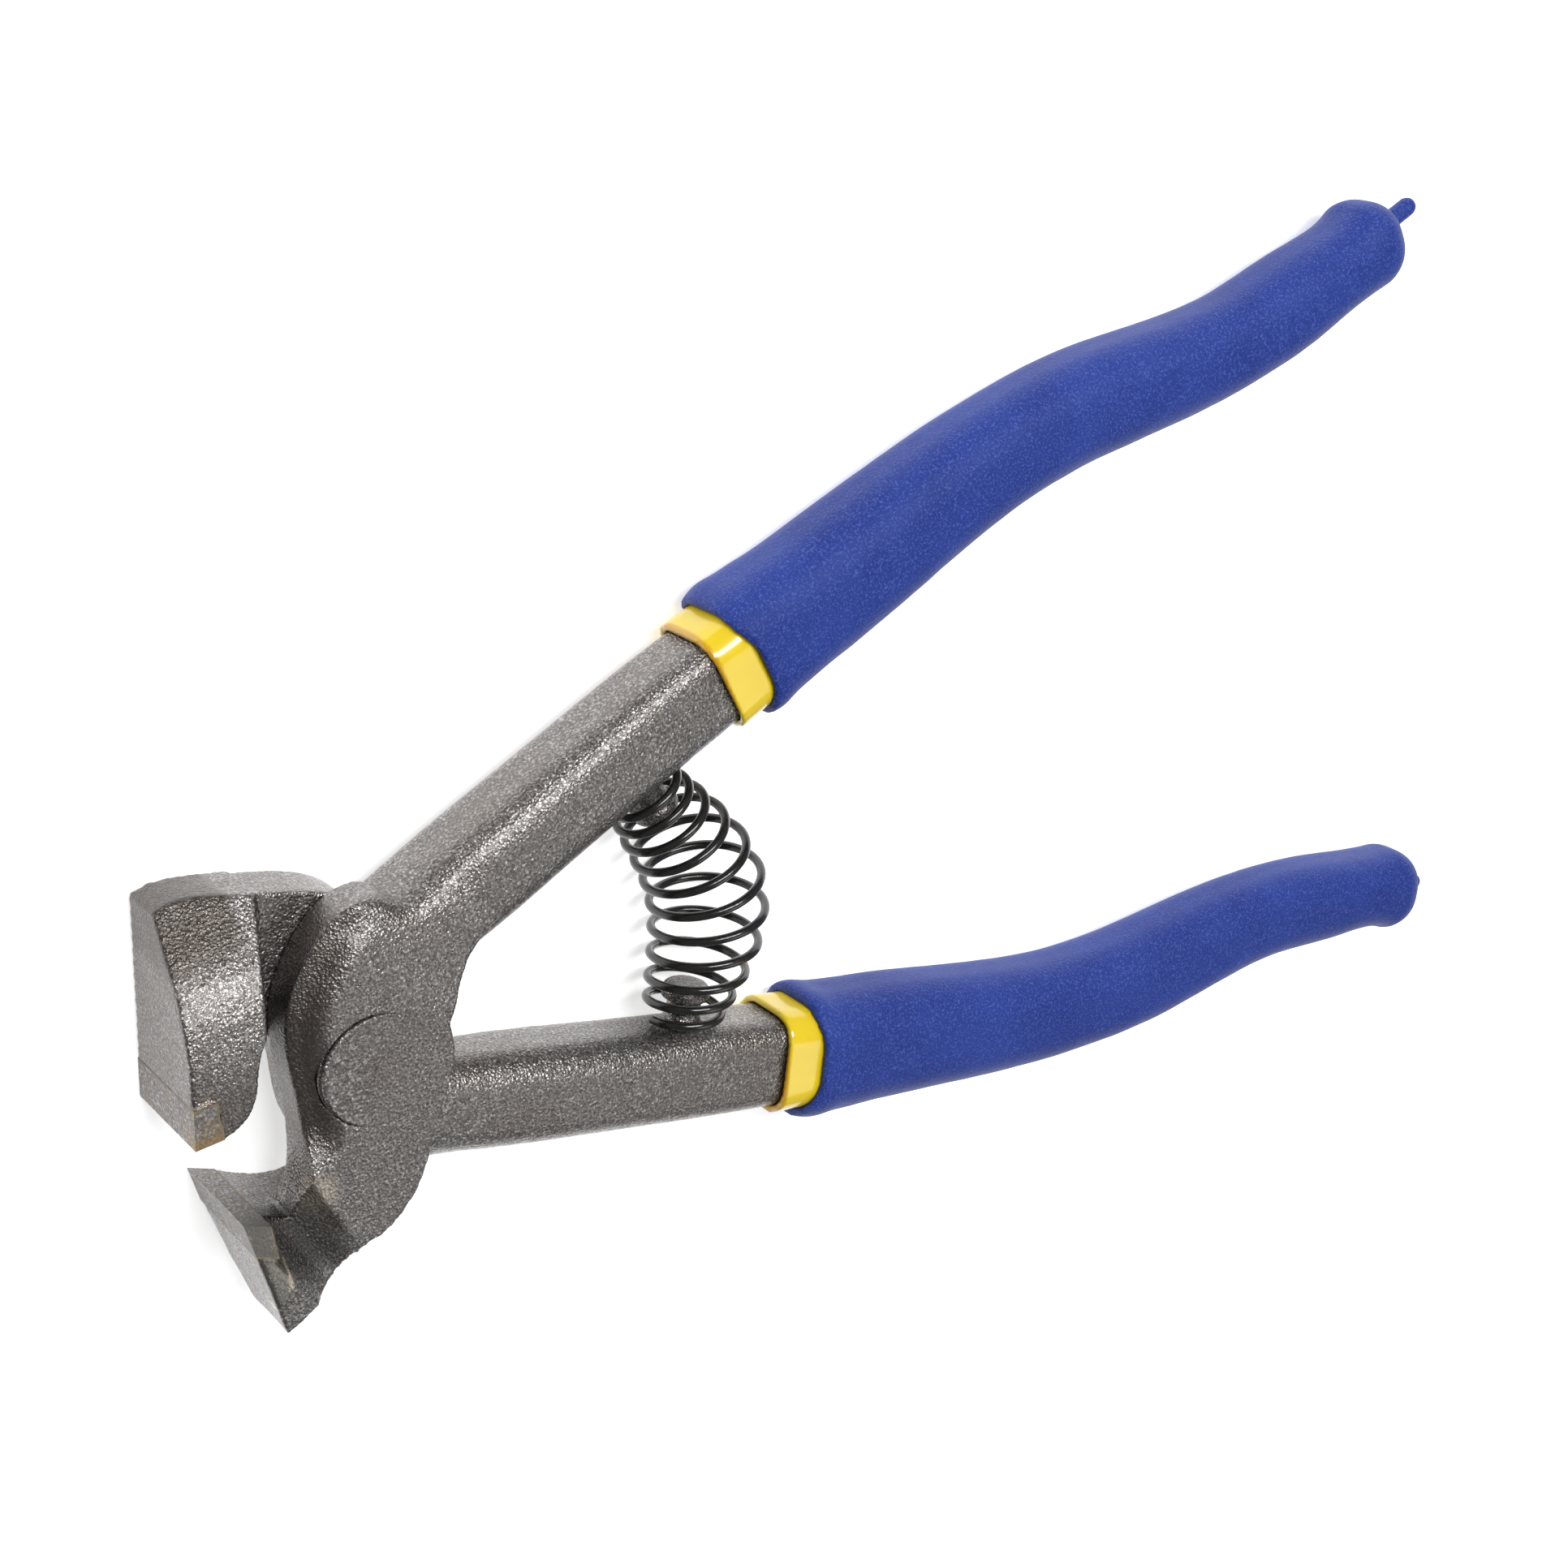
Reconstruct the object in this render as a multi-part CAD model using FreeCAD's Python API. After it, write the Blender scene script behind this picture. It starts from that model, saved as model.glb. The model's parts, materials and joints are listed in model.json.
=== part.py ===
import FreeCAD, Part
import math
import os

# Tile nippers: two steel forgings on one rivet, carbide-edged jaws, a barrel spring, dipped grips.
# The model is laid out about the pivot: +X towards the handles, +Z along the pivot, the jaws open.
# At the end every piece is shifted so that the origin is at the bottom centre of the whole tool.

V = FreeCAD.Vector

# Driving dimensions, in mm and degrees
HALF_OPEN = 13.785          # each handle's frame from the X axis, jaws open
LAP_GAP = 0.2               # between the two lapped bosses
BOSS_FACE = 7.4             # outer face of each boss from the lap plane
BOSS_RADIUS = 10.3          # round edge of each boss towards the handles
JAW_HALF_WIDTH = 7.9        # the cutting edges are twice this long
TIP_RADIUS = 22.4           # cutting edge from the pivot
UPPER_TIP_ANGLE = 178.9
LOWER_TIP_ANGLE = 209.7
SHOULDER_GAP = 0.3          # between a boss and the other half's shoulder
WALL_DRAFT = 18.0           # lean of the upper jaw's stop wall
ROOT_TURN = 38.0            # the slope from a boss to its bar falls this way from the X axis
ROOT_SLOPE = (9.0, 24.0)    # where that slope starts and ends, along its own way

# Outline points about the pivot, in mm
REAR_CORNER = (4.7, 17.2)   # where the rear boss's round edge meets its jaw arm's back
FRONT_CORNER = (3.8, -14.3)  # the same on the front boss
ROOT_START = (8.3, 16.6)    # inside the upper bar, where the front boss's left edge ends
ROOT_TOP = (15.0, 16.6)     # inside the upper bar, further along it
THROAT_END = (20.0, 11.6)   # inside the upper bar, past the throat between the handles
UPPER_HEEL = (-17.5, 24.9)  # top of the upper jaw's front face
UPPER_INNER = (-18.6, 0.3)  # on the upper jaw's inner face
LOWER_HEEL = (-17.7, -27.5)  # bottom of the lower jaw's front face
LOWER_INNER = (-16.2, -12.9)  # on the lower jaw's inner face
STOP_WALL = ((-8.7, 10.2), (-6.2, 23.1))  # foot of the wall that stops the front boss

WAIST_RADIUS = 4.8          # hollow between the front boss and the lower jaw
WAIST_DEPTHS = (3.2, 1.0)   # at the throat, and at the jaw arm's back

CARBIDE_HEIGHT = 4.6        # insert, along the jaw's front face
CARBIDE_DEPTH = 3.3         # insert, along the jaw's inner face
BRAZE = 0.25                # braze film behind the insert

SHANK_RADIUS = 4.0
RUNNING_CLEARANCE = 0.05
FRONT_HEAD_RADIUS = 6.75
REAR_HEAD_RADIUS = 6.2
HEAD_DEPTH = 1.6            # heads are sunk this far into the bosses
FRONT_HEAD_PROUD = 0.4
REAR_HEAD_PROUD = 0.3

SPRING_WIRE = 1.15
SPRING_TURNS = 10.5
SPRING_END_RADIUS = 4.45
SPRING_MID_RADIUS = 7.3
SPRING_BOW = 6.4            # its axis bows this far towards the handle ends
SPRING_LEAN = 1.1           # above 1, the widest turns sit nearer the lower peg
PEG_X = 43.7                # spring peg bases, from the pivot
PEG_Y = 17.35
PEG_TILT = 19.0             # pegs are square to the bars
PEG_NECK_RADIUS = 2.2
PEG_HEAD_RADIUS = 3.1
PEG_LENGTH = 5.7

BAR_START = 6.0             # along the handle's own X, inside the boss
SLEEVE_START = 59.3
GRIP_START = 64.7
BAR_END = 171.0
SLEEVE_END = 172.5
GRIP_DOME_START = 175.6
GRIP_DOME_LENGTH = 6.0
SLEEVE_WALL = 1.0
FIT_GAP = 0.1               # bar to sleeve, and sleeve to grip
NIB_RADIUS = 1.35
UPPER_NIB_LENGTH = 5.2
LOWER_NIB_LENGTH = 3.2

# Each handle's centre line in its own frame: along it, away from the tool's middle plane
HANDLE_LINE = [(6.0, 8.5), (31.6, 10.9), (53.0, 12.9), (70.0, 14.0), (89.0, 15.1), (108.0, 15.8),
               (127.0, 13.5), (146.0, 9.4), (163.0, 8.6), (176.0, 9.1), (188.0, 10.5)]
SECTION_STEP = 13.0         # about this far apart
# Bar section along the handle: station, half width, half thickness, corner radius
BAR_SECTIONS = [(0.0, 6.3, 6.1, 4.0), (32.0, 6.3, 6.1, 4.0), (57.0, 6.05, 5.35, 2.9), (90.0, 5.3, 4.6, 2.8),
                (125.0, 4.6, 4.1, 2.6), (BAR_END, 3.6, 3.5, 2.4)]
GRIP_SECTIONS = [(GRIP_START, 8.3, 7.3, 6.0), (74.0, 8.3, 7.3, 6.0), (90.0, 7.8, 7.0, 5.8),
                 (108.0, 7.1, 6.6, 5.3), (127.0, 7.0, 6.6, 5.3), (146.0, 6.4, 6.2, 5.0),
                 (163.0, 6.2, 6.1, 5.0), (GRIP_DOME_START, 6.3, 6.2, 5.3)]


def polar(radius, degrees, z=0.0):
    angle = math.radians(degrees)
    return V(radius * math.cos(angle), radius * math.sin(angle), z)


def line(a, b):
    return Part.makeLine(a, b)


def curve(points):
    """A smooth curve through the points."""
    spline = Part.BSplineCurve()
    spline.interpolate(points)
    return spline.toShape()


def flat(points):
    return [V(x, y, 0) for x, y in points]


def prism(edges, low, high):
    """The closed outline, drawn at z = 0, as a solid from low to high."""
    face = Part.Face(Part.Wire(edges))
    face.translate(V(0, 0, low))
    return face.extrude(V(0, 0, high - low))


def polygon(points, low, high):
    ring = points + [points[0]]
    return prism([line(a, b) for a, b in zip(ring, ring[1:])], low, high)


def mirrored(shape):
    """The shape on the other side of the XZ plane."""
    return shape.mirror(V(0, 0, 0), V(0, 1, 0))


# ---- handle frames -------------------------------------------------------------------------------

def handle_curve():
    spline = Part.BSplineCurve()
    spline.interpolate(flat(HANDLE_LINE))
    return spline


def handle_frame(along):
    """Centre and sideways direction of the handle at one station of its own X."""
    spline = handle_curve()
    parameter = spline.parameter(V(along, spline_height(spline, along), 0))
    tangent = spline.tangent(parameter)[0]
    return spline.value(parameter), V(-tangent.y, tangent.x, 0)


def spline_height(spline, along):
    """The centre line's y at x = along, by halving."""
    low = spline.FirstParameter
    high = spline.LastParameter
    for _ in range(40):
        middle = (low + high) / 2
        if spline.value(middle).x < along:
            low = middle
        else:
            high = middle
    return spline.value((low + high) / 2).y


def section_wire(centre, side, width, thickness, corner):
    """A rounded rectangle across the handle: half width along side, half thickness along Z."""
    up = V(0, 0, 1)
    edges = []
    corners = [(1, 1), (-1, 1), (-1, -1), (1, -1)]
    ends = []
    for sign_w, sign_t in corners:
        middle = centre + side * (sign_w * (width - corner)) + up * (sign_t * (thickness - corner))
        first = middle + side * (sign_w * corner)
        second = middle + up * (sign_t * corner)
        knee = middle + (side * sign_w + up * sign_t) * (corner * math.sqrt(0.5))
        if sign_w * sign_t < 0:
            first, second = second, first
        edges.append(Part.Arc(first, knee, second).toShape())
        ends.append((first, second))
    ring = []
    for index, arc in enumerate(edges):
        ring.append(arc)
        ring.append(line(ends[index][1], ends[(index + 1) % 4][0]))
    return Part.Wire(ring)


def blend_section(sections, along):
    """The section's sizes at a station between the listed ones."""
    for first, second in zip(sections, sections[1:]):
        if along <= second[0]:
            share = (along - first[0]) / (second[0] - first[0])
            return [a + (b - a) * share for a, b in zip(first[1:], second[1:])]
    return list(sections[-1][1:])


def handle_wires(sections, start, end, grow=0.0):
    """Evenly spaced sections across the handle from start to end, grown all round."""
    spans = round((end - start) / SECTION_STEP)
    wires = []
    for index in range(spans + 1):
        along = start + (end - start) * index / spans
        width, thickness, corner = blend_section(sections, along)
        centre, side = handle_frame(along)
        wires.append(section_wire(centre, side, width + grow, thickness + grow, corner + grow))
    return wires


def handle_loft(sections, start, end, grow=0.0):
    """A solid along the handle through those sections."""
    return Part.makeLoft(handle_wires(sections, start, end, grow), True, False)


def place_upper(shape):
    """From the handle's own frame to the upper handle's place, jaws open."""
    turned = shape.copy()
    turned.rotate(V(0, 0, 0), V(0, 0, 1), HALF_OPEN)
    return turned


# ---- grips and sleeves ---------------------------------------------------------------------------

def sleeve():
    outer = handle_loft(BAR_SECTIONS, SLEEVE_START, SLEEVE_END, FIT_GAP + SLEEVE_WALL)
    bore = handle_loft(BAR_SECTIONS, BAR_START, BAR_END + FIT_GAP, FIT_GAP)
    return place_upper(outer.cut(bore))


def grip(nib_length):
    """The dipped grip with its rounded end and the drip nib on it, in the upper handle's place."""
    centre, side = handle_frame(GRIP_DOME_START)
    along = V(side.y, -side.x, 0)
    sizes = blend_section(GRIP_SECTIONS, GRIP_DOME_START)
    dome_wires = []
    for degrees in (0, 20, 40, 60, 75, 86):
        angle = math.radians(degrees)
        width, thickness, corner = [size * math.cos(angle) for size in sizes]
        middle = centre + along * (GRIP_DOME_LENGTH * math.sin(angle))
        dome_wires.append(section_wire(middle, side, width, thickness, corner))
    dome = Part.makeLoft(dome_wires, True, False)
    body = handle_loft(GRIP_SECTIONS, GRIP_START, GRIP_DOME_START)
    nib_start = centre + along * (GRIP_DOME_LENGTH - 1.2)
    nib = Part.makeCylinder(NIB_RADIUS, nib_length, nib_start, along)
    nib_end = Part.makeSphere(NIB_RADIUS, nib_start + along * nib_length)
    bore_grow = 2 * FIT_GAP + SLEEVE_WALL
    bore = handle_loft(BAR_SECTIONS, SLEEVE_START, SLEEVE_END + FIT_GAP, bore_grow)
    return place_upper(body.fuse([dome, nib, nib_end]).cut(bore))


# ---- forgings ------------------------------------------------------------------------------------

def upper_bar():
    """The upper handle's steel, from the boss to its end inside the grip."""
    return place_upper(handle_loft(BAR_SECTIONS, BAR_START, BAR_END))


def boss_edge(side):
    """Jaw-side corner, tangent point and arc of a boss's round edge; side is +1 for the rear boss."""
    corner = V(*(REAR_CORNER if side > 0 else FRONT_CORNER), 0)
    spread = math.degrees(math.acos(BOSS_RADIUS / corner.Length))
    start = math.degrees(math.atan2(corner.y, corner.x)) - side * spread
    end = -side * 8.0
    tangent = polar(BOSS_RADIUS, start)
    arc = Part.Arc(tangent, polar(BOSS_RADIUS, (start + end) / 2), polar(BOSS_RADIUS, end)).toShape()
    return corner, tangent, arc


def throat_edge(side):
    """The curve between the boss and the inner edge of its own bar; side is +1 for the upper bar."""
    points = [polar(BOSS_RADIUS, side * 8.0)]
    points += [V(x, side * y, 0) for x, y in ((12.0, 4.3), (13.5, 7.0), (16.0, 9.4), THROAT_END)]
    return curve(points)


def shoulder_clearance(side):
    """Room beside one bar for the other half's boss and jaw arm; side is +1 for the rear boss."""
    reach = BOSS_RADIUS + SHOULDER_GAP
    low, high = sorted((-side * (BOSS_FACE + 5), side * LAP_GAP / 2))
    disc = Part.makeCylinder(reach, high - low, V(0, 0, low))
    corner, tangent, _ = boss_edge(side)
    touch = tangent * (reach / BOSS_RADIUS)
    far_end = touch + (corner - tangent).normalize() * 30
    arm = polygon([V(0, 0, 0), touch, far_end, V(-40, side * 40, 0)], low, high)
    return disc.fuse(arm)


def peg():
    """A mushroom-headed peg that holds one end of the spring, standing on the upper bar."""
    foot = 2.5
    neck = Part.makeCylinder(PEG_NECK_RADIUS, foot + PEG_LENGTH - 1.0, V(0, 0, -foot))
    flare = Part.makeCone(PEG_NECK_RADIUS + 1.2, PEG_NECK_RADIUS, 1.2)
    head = Part.makeCylinder(PEG_HEAD_RADIUS, 2.2, V(0, 0, PEG_LENGTH - 2.2))
    top_edges = [e for e in head.Edges if abs(e.BoundBox.ZMin - PEG_LENGTH) < 0.01 and e.Closed]
    head = head.makeFillet(1.2, top_edges)
    shape = neck.fuse([flare, head])
    shape.rotate(V(0, 0, 0), V(1, 0, 0), 90)
    shape.rotate(V(0, 0, 0), V(0, 0, 1), PEG_TILT)
    shape.translate(V(PEG_X, PEG_Y, 0))
    return shape


def plate(left_edge, jaw_side, back, side, low, high):
    """A boss with its jaw arm and bar root; side is +1 for the half that has the upper bar."""
    corner, tangent, arc = boss_edge(-side)
    throat_end = V(THROAT_END[0], side * THROAT_END[1], 0)
    root_top = V(ROOT_TOP[0], side * ROOT_TOP[1], 0)
    root_start = V(ROOT_START[0], side * ROOT_START[1], 0)
    edges = [left_edge]
    edges += [line(V(a[0], a[1], 0), V(b[0], b[1], 0)) for a, b in zip(jaw_side, jaw_side[1:])]
    edges += [back, line(corner, tangent), arc, throat_edge(side)]
    edges += [line(throat_end, root_top), line(root_top, root_start)]
    return prism(edges, low, high)


def root_taper():
    """A cutter that slopes a boss's outer face down to its bar, in the upper handle's place."""
    bar_face = BAR_SECTIONS[0][2]
    start, end = ROOT_SLOPE
    reach = 30.0
    clear = BOSS_FACE + 5
    profile = [(start, BOSS_FACE), (end, bar_face), (reach, bar_face), (reach, clear), (start, clear)]
    points = [V(x, -reach, z) for x, z in profile]
    ring = points + [points[0]]
    face = Part.Face(Part.Wire([line(a, b) for a, b in zip(ring, ring[1:])]))
    wedge = face.extrude(V(0, 2 * reach, 0))
    wedge.rotate(V(0, 0, 0), V(0, 0, 1), ROOT_TURN)
    return wedge


def front_plate():
    """Boss, jaw arm and bar root of the front half, on the near side of the lap plane."""
    left_edge = curve(flat([ROOT_START, (5.6, 19.7), (2.2, 19.8), (-3.1, 16.5), (-7.6, 10.4), (-8.9, 4.5),
                            (-9.2, -4.0), (-9.8, -8.0), (-10.9, -11.6), (-13.0, -14.2)]))
    jaw_side = [(-13.0, -14.2), (-14.0, -22.5), (-3.6, -21.0)]
    back = curve(flat([(-3.6, -21.0), (0.2, -18.8), FRONT_CORNER]))
    return plate(left_edge, jaw_side, back, 1, LAP_GAP / 2, BOSS_FACE)


def lower_jaw_block(tip):
    """The lower jaw, as wide as its cutting edge."""
    inner = curve([tip, V(*LOWER_INNER, 0), V(-13.0, -14.9, 0), V(-10.6, -15.8, 0), V(-8.2, -16.0, 0)])
    edges = [inner, line(V(-8.2, -16.0, 0), V(-6.9, -21.8, 0)),
             curve(flat([(-6.9, -21.8), (-11.0, -24.6), LOWER_HEEL])), line(V(*LOWER_HEEL, 0), tip)]
    return prism(edges, -JAW_HALF_WIDTH, JAW_HALF_WIDTH)


def rear_plate():
    """Boss, jaw arm and bar root of the rear half, on the far side of the lap plane."""
    left_edge = curve(flat([(ROOT_START[0], -ROOT_START[1]), (2.6, -19.4), (-3.1, -16.5), (-7.0, -10.4),
                            (-8.2, -4.5), (-7.9, 1.0), (-8.8, 5.6), (-14.5, 13.0)]))
    jaw_side = [(-14.5, 13.0), (-11.0, 23.0)]
    back = curve(flat([(-11.0, 23.0), (-6.2, 22.9), (-3.2, 21.9), (1.2, 20.0), REAR_CORNER]))
    return plate(left_edge, jaw_side, back, -1, -BOSS_FACE, -LAP_GAP / 2)


def upper_jaw_block(tip):
    """The upper jaw, as wide as its cutting edge, with its stop wall beside the front boss."""
    inner = curve([tip, V(*UPPER_INNER, 0), V(-16.0, 1.3, 0), V(-14.2, 3.4, 0), V(-12.9, 6.8, 0),
                   V(-11.2, 9.3, 0), V(*STOP_WALL[0], 0)])
    top = curve(flat([STOP_WALL[1], (-9.0, 23.9), (-13.5, 25.1), UPPER_HEEL]))
    edges = [inner, line(V(*STOP_WALL[0], 0), V(*STOP_WALL[1], 0)), top, line(V(*UPPER_HEEL, 0), tip)]
    block = prism(edges, -JAW_HALF_WIDTH, JAW_HALF_WIDTH)
    return block.cut(draft_wedge(STOP_WALL[0], STOP_WALL[1]))


def draft_wedge(low_end, high_end):
    """A long wedge that leans a wall back, away from the lap plane."""
    start = V(*low_end, 0)
    run = V(*high_end, 0) - start
    outward = V(run.y, -run.x, 0).normalize()
    start = start - run
    top = JAW_HALF_WIDTH + 1
    lean = top * math.tan(math.radians(WALL_DRAFT))
    above = start + V(0, 0, top)
    points = [start, above - outward * lean, above + outward * 4, start + outward * 4]
    ring = points + [points[0]]
    face = Part.Face(Part.Wire([line(a, b) for a, b in zip(ring, ring[1:])]))
    return face.extrude(run * 3)


def side_trim(profile, side):
    """A cutter along X that keeps a jaw below the profile of (y, z) points; side is +1 or -1 in Z."""
    reach = JAW_HALF_WIDTH + 6
    points = [V(-40, y, side * z) for y, z in profile]
    first = V(-40, profile[0][0], side * reach)
    last = V(-40, profile[-1][0], side * reach)
    edges = [curve(points), line(points[-1], last), line(last, first), line(first, points[0])]
    return Part.Face(Part.Wire(edges)).extrude(V(60, 0, 0))


def waist(throat_end, back_end):
    """The hollow across the front half's arm, between its boss and its jaw, deeper at the throat."""
    centre = BOSS_FACE + WAIST_RADIUS
    start = V(throat_end[0], throat_end[1], centre - WAIST_DEPTHS[0])
    run = V(back_end[0], back_end[1], centre - WAIST_DEPTHS[1]) - start
    return Part.makeCylinder(WAIST_RADIUS, run.Length, start, run)


def edge_section(tip, face_end, inner_end, extra):
    """The insert's outline at the cutting edge, grown backwards by extra."""
    up = (face_end - tip).normalize()
    back = (inner_end - tip).normalize()
    heel = tip + up * (CARBIDE_HEIGHT + extra)
    toe = tip + back * (CARBIDE_DEPTH + extra)
    return [tip, heel, heel + back * (CARBIDE_DEPTH * 0.8 + extra), toe]


def insert(tip, face_end, inner_end):
    return polygon(edge_section(tip, face_end, inner_end, 0.0), -JAW_HALF_WIDTH, JAW_HALF_WIDTH)


def insert_pocket(tip, face_end, inner_end):
    return polygon(edge_section(tip, face_end, inner_end, BRAZE), -JAW_HALF_WIDTH, JAW_HALF_WIDTH)


def bores(shank_radius, head_radius, head_floor, outward):
    """The pivot bore through a boss and the seat for the rivet's head."""
    bore = Part.makeCylinder(shank_radius, 40, V(0, 0, -20))
    seat = Part.makeCylinder(head_radius, 10, V(0, 0, outward * head_floor), V(0, 0, outward))
    return bore.fuse(seat)


# ---- small pieces --------------------------------------------------------------------------------

def rivet():
    floor = BOSS_FACE - HEAD_DEPTH
    shank = Part.makeCylinder(SHANK_RADIUS, 2 * floor, V(0, 0, -floor))
    front = Part.makeCylinder(FRONT_HEAD_RADIUS, HEAD_DEPTH + FRONT_HEAD_PROUD, V(0, 0, floor))
    rear_start = -BOSS_FACE - REAR_HEAD_PROUD
    rear = Part.makeCylinder(REAR_HEAD_RADIUS, HEAD_DEPTH + REAR_HEAD_PROUD, V(0, 0, rear_start))
    front_rim = [e for e in front.Edges if e.Closed and e.BoundBox.ZMin > BOSS_FACE]
    rear_rim = [e for e in rear.Edges if e.Closed and e.BoundBox.ZMax < -BOSS_FACE]
    front = front.makeFillet(0.3, front_rim)
    rear = rear.makeFillet(0.25, rear_rim)
    return shank.fuse([front, rear]).removeSplitter()


def spring_point(share):
    """Centre of the wire at a share of the spring's turns, on its bowed axis."""
    packed = share - 0.055 * math.sin(2 * math.pi * share)
    seat = PEG_Y - 0.9
    swell = math.sin(math.pi * packed ** SPRING_LEAN)
    centre = V(PEG_X + 0.3 + SPRING_BOW * swell ** 1.15, seat * (1 - 2 * packed), 0)
    tilt = math.radians(PEG_TILT) * math.cos(math.pi * packed)
    radius = SPRING_END_RADIUS + (SPRING_MID_RADIUS - SPRING_END_RADIUS) * swell ** 0.9
    turn = 2 * math.pi * SPRING_TURNS * share
    outward = V(math.cos(tilt), math.sin(tilt), 0)
    return centre + outward * (radius * math.cos(turn)) + V(0, 0, radius * math.sin(turn))


def return_spring():
    steps = int(SPRING_TURNS * 16)
    points = [spring_point(i / steps) for i in range(steps + 1)]
    path = Part.BSplineCurve()
    path.interpolate(points)
    start = points[0]
    heading = path.tangent(path.FirstParameter)[0]
    ring = Part.Wire(Part.makeCircle(SPRING_WIRE / 2, start, heading))
    return Part.Wire(path.toShape()).makePipeShell([ring], True, True)


def build():
    upper_tip = polar(TIP_RADIUS, UPPER_TIP_ANGLE)
    lower_tip = polar(TIP_RADIUS, LOWER_TIP_ANGLE)
    upper_edges = (upper_tip, V(*UPPER_HEEL, 0), V(*UPPER_INNER, 0))
    lower_edges = (lower_tip, V(*LOWER_HEEL, 0), V(*LOWER_INNER, 0))
    head_floor = BOSS_FACE - HEAD_DEPTH
    bar = upper_bar()
    stud = peg()

    upper_side = [(27.0, -2.6), (20.0, 2.6), (14.0, 6.2), (7.0, 7.6), (-3.0, 7.9)]
    lower_side = [(-8.0, 7.9), (-16.0, 7.4), (-22.0, 5.2), (-31.0, -0.5)]
    upper_inner = upper_jaw_block(upper_tip).cut(side_trim(upper_side, 1))
    lower_inner = lower_jaw_block(lower_tip).cut(side_trim(lower_side, -1))

    front = front_plate().cut(root_taper())
    front = front.fuse([bar.cut(shoulder_clearance(1)), stud, lower_inner])
    front = front.cut(waist((-16.6, -6.5), (-8.0, -28.5)))
    front = front.cut(bores(SHANK_RADIUS, FRONT_HEAD_RADIUS, head_floor, 1))
    front = front.cut(insert_pocket(*lower_edges)).removeSplitter()

    turn = FreeCAD.Matrix()
    turn.rotateX(math.pi)
    rear_bar = mirrored(bar).cut(shoulder_clearance(-1))
    rear = rear_plate().cut(root_taper().transformGeometry(turn))
    rear = rear.fuse([rear_bar, mirrored(stud), upper_inner])
    rear = rear.cut(bores(SHANK_RADIUS + RUNNING_CLEARANCE, REAR_HEAD_RADIUS + FIT_GAP,
                          head_floor - FIT_GAP, -1))
    rear = rear.cut(insert_pocket(*upper_edges)).removeSplitter()

    upper_sleeve = sleeve()
    pieces = {
        "front_half": front,
        "rear_half": rear,
        "pivot_rivet": rivet(),
        "upper_carbide_tip": insert(*upper_edges),
        "lower_carbide_tip": insert(*lower_edges),
        "upper_braze_seam": insert_pocket(*upper_edges).cut(insert(*upper_edges)),
        "lower_braze_seam": insert_pocket(*lower_edges).cut(insert(*lower_edges)),
        "return_spring": return_spring(),
        "upper_inner_sleeve": upper_sleeve,
        "lower_inner_sleeve": mirrored(upper_sleeve),
        "upper_grip": grip(UPPER_NIB_LENGTH),
        "lower_grip": mirrored(grip(LOWER_NIB_LENGTH)),
    }
    return pieces


def export(pieces):
    """Shift the origin to the bottom centre of the whole tool and write one file per piece."""
    box = FreeCAD.BoundBox()
    for shape in pieces.values():
        box.add(shape.optimalBoundingBox())
    shift = V(-round(box.Center.x, 2), -round(box.Center.y, 2), -round(box.ZMin, 2))
    print("pivot is at", tuple(round(c, 2) for c in shift), "mm")
    os.makedirs("parts", exist_ok=True)
    for name, shape in pieces.items():
        shape.translate(shift)
        shape.exportStep("parts/" + name + ".step")
        print(name, "solids", len(shape.Solids), "valid", shape.isValid(), "volume", round(shape.Volume, 1))


export(build())
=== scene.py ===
import json
import math

import bmesh
import bpy
import numpy as np
from mathutils import Matrix, Vector, noise


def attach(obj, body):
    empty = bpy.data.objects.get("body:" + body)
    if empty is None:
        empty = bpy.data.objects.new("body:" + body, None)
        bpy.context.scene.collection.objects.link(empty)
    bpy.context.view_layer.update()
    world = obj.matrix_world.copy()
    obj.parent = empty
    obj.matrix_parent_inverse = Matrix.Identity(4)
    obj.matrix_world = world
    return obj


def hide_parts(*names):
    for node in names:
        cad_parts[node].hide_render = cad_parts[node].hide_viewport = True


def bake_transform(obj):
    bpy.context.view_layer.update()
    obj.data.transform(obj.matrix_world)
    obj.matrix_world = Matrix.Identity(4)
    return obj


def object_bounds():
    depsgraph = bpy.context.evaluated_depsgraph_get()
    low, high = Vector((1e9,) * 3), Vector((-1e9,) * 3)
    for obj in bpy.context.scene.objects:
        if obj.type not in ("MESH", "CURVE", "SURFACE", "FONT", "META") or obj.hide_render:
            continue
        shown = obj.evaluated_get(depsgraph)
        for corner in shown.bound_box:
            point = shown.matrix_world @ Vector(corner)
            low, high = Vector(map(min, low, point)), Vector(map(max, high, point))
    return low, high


# Tile nippers: forgings with soft forged edges, a riveted pivot, brazed carbide edges, spring and grips.
# Everything is in metres in the CAD's frame; "about the pivot" means measured from the hinge, in mm.

MM = 0.001
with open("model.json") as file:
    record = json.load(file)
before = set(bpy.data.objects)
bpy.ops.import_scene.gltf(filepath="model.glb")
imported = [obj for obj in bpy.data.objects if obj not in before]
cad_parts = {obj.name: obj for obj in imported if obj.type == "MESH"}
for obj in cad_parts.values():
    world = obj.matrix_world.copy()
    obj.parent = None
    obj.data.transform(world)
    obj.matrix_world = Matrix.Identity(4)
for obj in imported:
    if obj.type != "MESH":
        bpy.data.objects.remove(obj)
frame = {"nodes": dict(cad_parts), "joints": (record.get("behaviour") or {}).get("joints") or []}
cad_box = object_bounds()
nodes = frame["nodes"]
PIVOT = Vector(frame["joints"][0]["pos_m"])

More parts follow.
